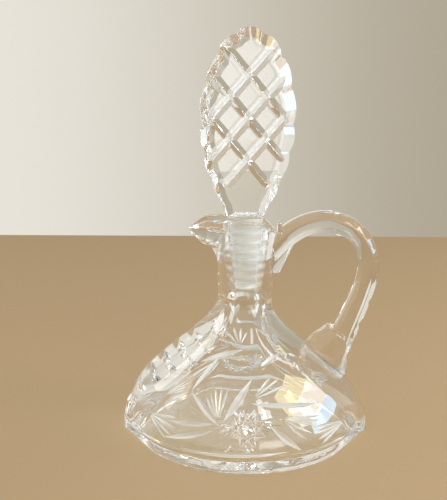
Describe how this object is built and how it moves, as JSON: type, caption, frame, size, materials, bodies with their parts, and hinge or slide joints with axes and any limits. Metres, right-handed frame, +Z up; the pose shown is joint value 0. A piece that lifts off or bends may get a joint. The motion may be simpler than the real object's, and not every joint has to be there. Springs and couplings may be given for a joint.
{
  "type": "cut glass carafe",
  "caption": "Squat cut glass carafe with pointed sides, a narrow neck with a pouring lip, a strap handle and a lift-out paddle stopper.",
  "frame": {"origin": "on the neck's axis, at the resting face", "axes": "+Z up along the neck, -X towards the pouring lip, +X towards the handle, -Y towards the broad front panel"},
  "size_m": [0.1661, 0.1414, 0.2626],
  "materials": {
    "vessel_glass": "polished, with cut and polished grooves",
    "handle_glass": "polished, bevelled and notched",
    "stopper_glass": "polished head, finely ground plug"
  },
  "bodies": {
    "carafe": {"vessel": "vessel_glass", "handle": "handle_glass"},
    "stopper": {"stopper": "stopper_glass"}
  },
  "joints": [
    {"name": "stopper_lift", "type": "slide", "parent": "carafe", "child": "stopper", "axis": [0, 0, 1], "range_m": [0, 0.07]}
  ]
}
